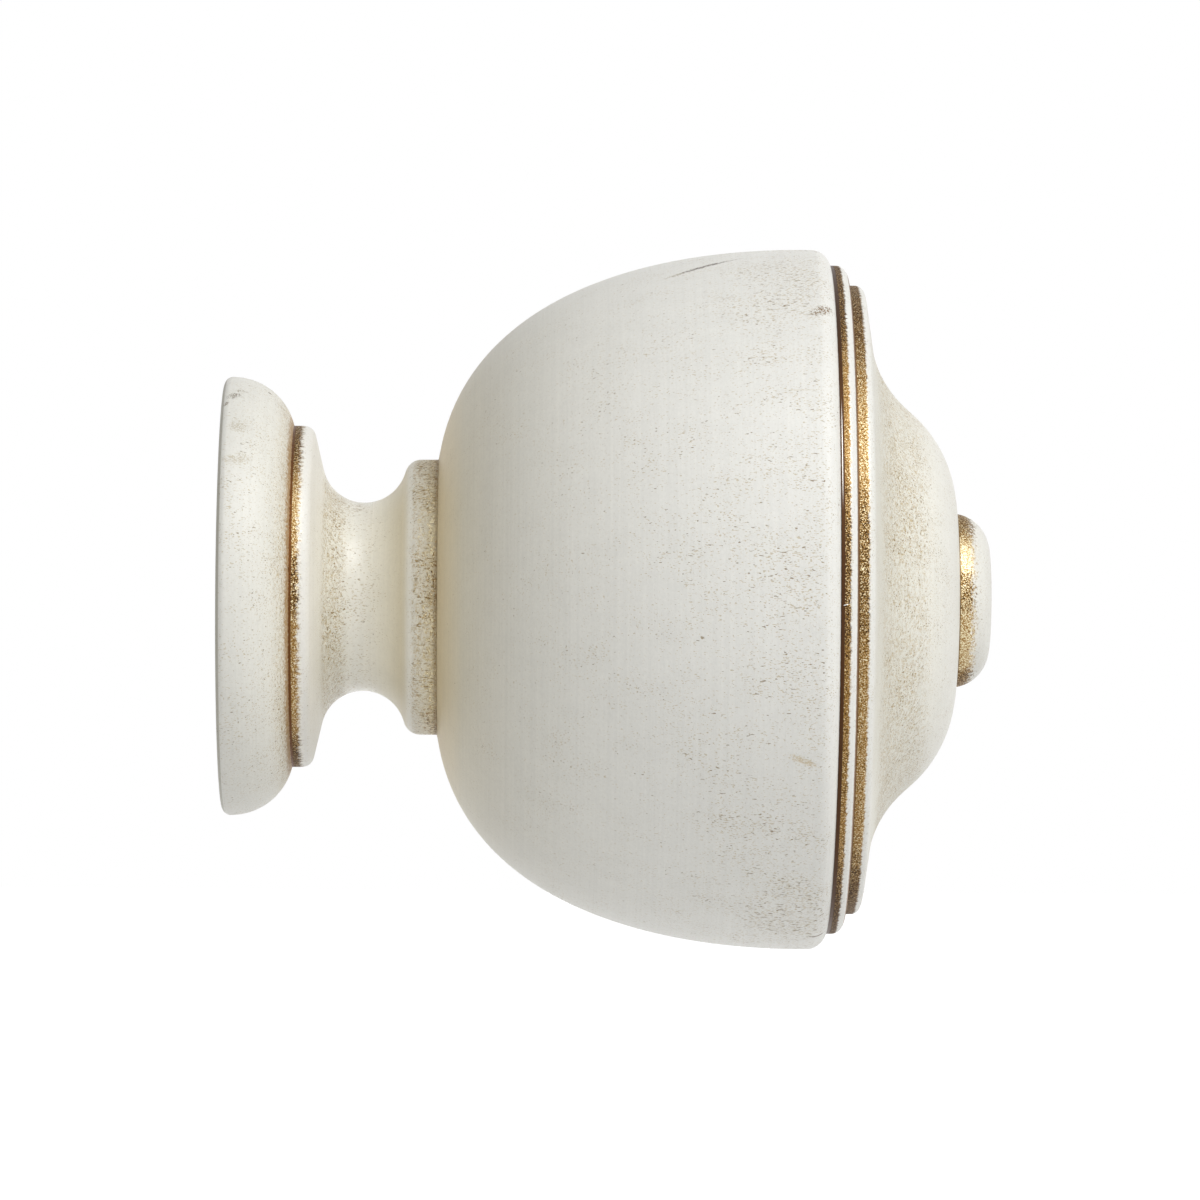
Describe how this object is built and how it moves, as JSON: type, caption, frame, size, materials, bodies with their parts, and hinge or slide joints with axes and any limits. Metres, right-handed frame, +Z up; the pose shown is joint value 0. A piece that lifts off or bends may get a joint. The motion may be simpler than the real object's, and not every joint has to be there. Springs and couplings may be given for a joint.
{
  "type": "curtain pole finial",
  "caption": "Turned wooden finial for the end of a curtain pole: round foot, waisted neck, bowl, stepped beads, ogee cap and button, in antique white with gilt recesses.",
  "frame": {"origin": "centre of the base face that meets the pole, on the turning axis, at the mouth of the screw hole", "axes": "+X along the turning axis from the pole to the button, +Z up, as the finial sits on a level pole"},
  "size_m": [0.0986, 0.09, 0.09],
  "materials": {
    "painted_wood": "antique white paint rubbed thin over open pores, with gilt and brown glaze in the recesses, satin"
  },
  "bodies": {
    "root": {"finial": "painted_wood"}
  },
  "joints": []
}
